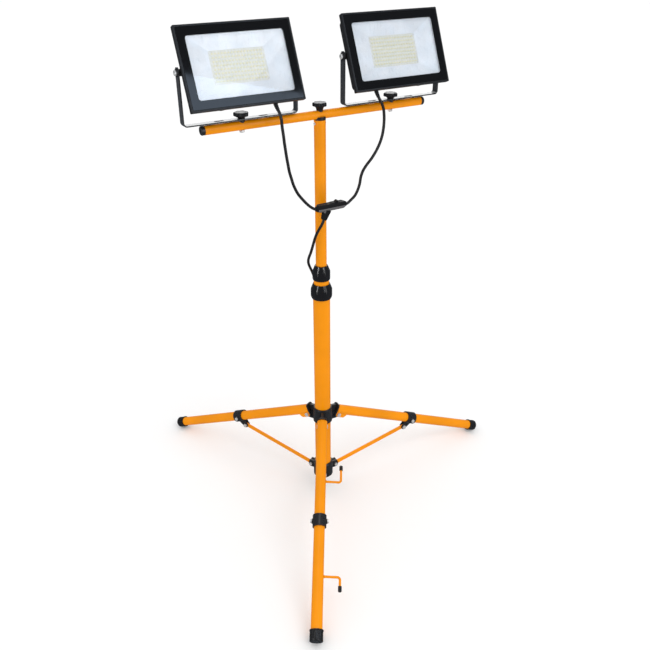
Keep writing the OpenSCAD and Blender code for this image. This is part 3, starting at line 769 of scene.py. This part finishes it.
def bar_washers():
    """Black washers grooved to sit on the bar under the strap and the centre knob."""
    s = Shape()
    for x in (-LAMP_X, 0, LAMP_X):
        top = 9.8 if x == 0 else 11.25
        saddle = [[(px, py, math.sqrt(BAR_R ** 2 - py * py)) for px, py in circle(r)] for r in (3.1, 6.9)]
        flat = [[(px, py, z) for px, py in circle(r)] for r, z in ((6.9, top - 0.5), (6.4, top), (3.1, top))]
        s.rings([saddle[1]] + flat + [saddle[0]], Matrix.Translation((x, 0, 0)), closed=True)
    piece("bar_washers", s, "bar_body", [SOFT_GREY], at=BAR, bevel=0.2,
          replaces=["bar_nuts"])


def bar_hex_nuts():
    """Captive nuts under the bar, one below each lamp bolt."""
    s = Shape()
    for x in (-LAMP_X, LAMP_X):
        at = Matrix.Translation((x, 0, -13))
        section = ((5.394, 0), (5.8, 0.7), (5.8, 3.3), (5.394, 4), (3.1, 4), (3.1, 0))
        s.rings([[(px, py, z) for px, py in circle(r, 6)] for r, z in section], at, closed=True)
    piece("bar_hex_nuts", s, "bar_body", [ZINC], at=BAR, bevel=0.15)


bar_washers()
bar_hex_nuts()


# ---- Boots, cord hooks and the switch case ----
def boot(name):
    """Ribbed rubber boot, worn flat where it stands."""
    s = Shape()
    start = LEG_LEN - 24
    collar = ((12.8, -0.4), (14.9, 0), (15.2, 0.5), (15.2, 2.6), (14.6, 3.2))
    sole = ((14.6, -3.8), (14.5, -1.2), (13.6, -0.2), (11, 0), (10.4, -0.8), (8.8, -0.8), (8.2, 0))
    count, ribs, rib_depth = 144, 18, 0.55
    ribbed = star(14.5, rib_depth, ribs, count)
    layers = [(circle(r, count), start + z) for r, z in collar]
    layers += [(ribbed, start + 4.4), (ribbed, LEG_LEN - 4.6)]
    layers += [(circle(r, count), LEG_LEN + z) for r, z in sole]
    s.stack(layers, at=turn(90, "Y"))
    piece(f"boot_{name}", s, f"leg_{name}_body", [BOOT], at=ON_LEG[name], bevel=0,
          replaces=[f"foot_{name}"], floor=True)


def cord_hooks():
    """Two bent wires welded to the front leg, drooping a little, with soft black tips."""
    wires, sleeves = Shape(), Shape()
    root, reach, bend = 12.2, 48.5, 6
    droop = turn(-6, "X")
    for along, way, length in ((159, -1, 43), (382, 1, 32)):
        path = [(along, root, 0), (along, (root + reach) / 2, 0)]
        for k in range(9):
            a = math.pi / 2 * k / 8
            path.append((along + way * bend * (1 - math.cos(a)), reach - bend + bend * math.sin(a), 0))
        path.append((along + way * (length - 3), reach, 0))
        wires.sweep(path, 2.75, at=droop)
        wires.lathe([(4.4, 0.2), (3.9, 0.9), (2.8, 1.7)],
                    droop @ Matrix.Translation((along, root, 0)) @ turn(-90, "X"), 0, 24)
        at = droop @ Matrix.Translation((along, reach, 0)) @ turn(90 * way, "Y")
        sleeves.lathe([(3.1, length - 13), (3.8, length - 12.8), (4.1, length - 12), (4.1, length - 2.6),
                       (3.6, length - 1.0), (2.4, length - 0.2), (0.6, length)], at, 0, 32)
    piece("cord_hook_wires", wires, "leg_front_body", [TUBE], at=ON_LEG["front"], bevel=0,
          replaces=["cord_hooks"])
    piece("hook_sleeves", sleeves, "leg_front_body", [RUBBER], at=ON_LEG["front"], bevel=0)


def splitter():
    """Junction case of the three cords, with its reliefs, parting ribs and the switch's rim."""
    s = Shape()
    section = [(-8, 6.8), (-6.8, 8), (6.8, 8), (8, 6.8), (8, -4), (4, -8), (-4, -8), (-8, -4)]
    sides = 48
    body = rays(section, sides)
    angles = [math.tau * (k + 0.5) / sides for k in range(sides)]
    relief = ((4.5, -38), (5.6, -36.5), (5.0, -36), (6.4, -34.6), (7.2, -33))
    layers = [([(r * math.cos(a), r * math.sin(a)) for a in angles], x) for r, x in relief]
    layers += [(scaled(body, 0.9), -31.5), (body, -29)]
    layers += [(line, -x) for line, x in reversed(layers)]
    s.rings([[(x, y, z) for y, z in line] for line, x in layers])
    for sign in (-1, 1):
        s.rings([[(x, sign * y, z) for x, z in rounded(57, 0.9, 0.4, 3)] for y in (7.8, 8.25)])
    s.frame(rounded(21, 12, 2.5), rounded(17, 9.4, 1.2), 7.7, 8.7, at=Matrix.Translation((9, 0, 0)))
    tip = (ALONG_BAR @ shift(*SPLITTER)).inverted() @ (MAST @ (Vector(MAINS_DOWN[0]) * MM)) / MM
    base = Vector((-10, 0, -6))
    steps = [(0, 9.9), (0.3, 9.2), (0.34, 8.7), (0.5, 8.4), (0.54, 8.0), (0.7, 7.7), (0.74, 7.3), (0.9, 7.0),
             (0.97, 6.4), (1, 5.6)]
    down = tip - base
    across = Vector((0, 1, 0))
    forward = across.cross(down.normalized())
    s.rings([[base + down * t + r * (x * forward + y * across) for x, y in circle(1, 40)] for t, r in steps])
    shell_low, parting = -7.6, -0.9
    for f in s.bm.faces:  # painted light: the lower shell's sides get a lighter grey that stands in for the light they catch from the pale floor
        c = f.calc_center_median()
        if shell_low < c.z < parting and abs(c.x) < 33 and 4.3 < abs(c.y) < 8.1:
            f.material_index = 1
    piece("splitter_case", s, "bar_body", [CASE, CASE_BASE_PAINTED_LIGHT], at=ALONG_BAR @ shift(*SPLITTER),
          bevel=0.2, replaces=["splitter_body"])


for name in LEGS:
    boot(name)
cord_hooks()
splitter()


# ---- Finishes of the CAD nodes that stay ----
def dress(nodes, material, bevel):
    """Gives CAD nodes their material and slightly rounded edges."""
    for n in nodes:
        obj = NODES[n]
        obj.data.materials.clear()
        obj.data.materials.append(material)
        obj.data.shade_smooth()
        tidy_edges(obj, bevel, weld=True)


def each(pattern, names):
    return [pattern.format(n) for n in names]


dress(["outer_tube", "mid_tube", "top_tube", "crossbar"] + each("leg_{}", LEGS), TUBE, 0.4)
dress(each("strut_{}", LEGS), TUBE, 0.4)
dress(["strut_collar", "hub", "bar_saddle", "bar_end_caps", "mast_plugs"], SOFT_GREY, 0.6)
dress(each("clip_{}", LEGS), SOFT_GREY, 0.6)
dress(["rocker_switch"], CASE, 0.4)
dress(["lower_lock_nut", "upper_lock_nut"], GLOSSY, 0.8)
dress(["lower_collet", "upper_collet"], PLASTIC, 0.3)
dress(["plug_rivets", "hub_pivot_bolts", "collar_bolts"] + each("clip_bolts_{}", LEGS), ZINC, 0.35)
dress(each("bracket_{}", SIDES), BRACKET, 0.3)
dress(each("lamp_{}_housing", SIDES), CAST, 0.5)
dress(each("lamp_{}_gasket", SIDES), RUBBER, 0)
dress(each("lamp_{}_led_board", SIDES), BOARD, 0.2)


# ---- Floor and light ----
def floor():
    """Pale paper under the stand; its outline is in metres."""
    s = Shape()
    sheet = rounded(160, 160, 10, 4)
    s.stack([(sheet, -0.02), (sheet, 0)])
    mesh = bpy.data.meshes.new("floor")
    s.bm.to_mesh(mesh)
    s.bm.free()
    obj = bpy.data.objects.new("floor", mesh)
    obj.location.z = -0.0003
    g = Graph("floor_paper")
    g.link(g.blend(g.noise(3, 3), (0.95, 0.95, 0.95), (0.965, 0.965, 0.965)), g.shader.inputs["Base Color"])
    g.set(Roughness=0.9, Specular_IOR_Level=0.1)
    mesh.materials.append(g.mat)
    bpy.context.scene.collection.objects.link(obj)
    obj.visible_glossy = False


def world():
    """Soft white surroundings; gloss sees a dimmer room, so that dark parts stay dark."""
    w = bpy.data.worlds.new("room")
    bpy.context.scene.world = w
    w.use_nodes = True
    nodes, links = w.node_tree.nodes, w.node_tree.links
    base = nodes["Background"]
    base.inputs["Color"].default_value = (1, 1, 1, 1)
    base.inputs["Strength"].default_value = 0.97
    dim = nodes.new("ShaderNodeBackground")
    dim.inputs["Color"].default_value = (0.75, 0.85, 1, 1)
    dim.inputs["Strength"].default_value = 0.16
    rays_node = nodes.new("ShaderNodeLightPath")
    mix = nodes.new("ShaderNodeMixShader")
    links.new(rays_node.outputs["Is Glossy Ray"], mix.inputs[0])
    links.new(base.outputs[0], mix.inputs[1])
    links.new(dim.outputs[0], mix.inputs[2])
    links.new(mix.outputs[0], nodes["World Output"].inputs["Surface"])


def card(name, centre, aim, size, radiance, colour=(1, 1, 1), roll=0.0):
    """A soft panel that shows only in gloss."""
    data = bpy.data.lights.new(name, "AREA")
    data.shape = "RECTANGLE"
    data.size, data.size_y = size
    data.energy = radiance * math.pi * size[0] * size[1]
    data.color = colour
    obj = bpy.data.objects.new(name, data)
    bpy.context.scene.collection.objects.link(obj)
    facing = (Vector(aim) - Vector(centre)).to_track_quat("-Z", "Y").to_matrix().to_4x4()
    obj.matrix_world = Matrix.Translation(centre) @ facing @ turn(roll, "Z")
    obj.visible_camera = False
    obj.visible_diffuse = False


def lights():
    """Panels that show in the gloss, and one soft sun that lights the stand."""
    middle, nuts, legs = (0, MAST_Y, 0.9), (0, MAST_Y, 0.64), (0, MAST_Y, 0.5)
    cool = (0.62, 0.78, 1.0)
    card("back_panel", (0, MAST_Y + 2.3, 2.05), middle, (3.4, 2.1), 2.3)
    card("top_panel", (0, MAST_Y - 0.4, 3.2), middle, (1.0, 1.6), 2.0)
    card("rim_panel", (1.194, -0.987, 1.836), (0.321, -0.48, 1.836), (1.07, 0.7), 2.4, cool, roll=-35.8)
    card("nut_left", (-1.01, -0.90, 1.05), nuts, (0.22, 0.3), 14.0)
    card("nut_right", (0.87, -1.02, 1.09), nuts, (0.22, 0.3), 9.0)
    card("strip_left", (-1.6, -1.5, 1.0), legs, (0.18, 2.2), 3.0)
    card("strip_right", (1.9, -1.2, 1.0), legs, (0.3, 2.2), 3.0)
    sun = bpy.data.lights.new("key", "SUN")
    sun.energy = 0.55
    sun.angle = math.radians(35)
    obj = bpy.data.objects.new("key", sun)
    bpy.context.scene.collection.objects.link(obj)
    obj.rotation_euler = Vector((-0.75, 0.6, -1.1)).to_track_quat("-Z", "Y").to_euler()
    obj.visible_glossy = False
    bpy.context.scene.view_settings.view_transform = "Standard"


floor()
world()
lights()
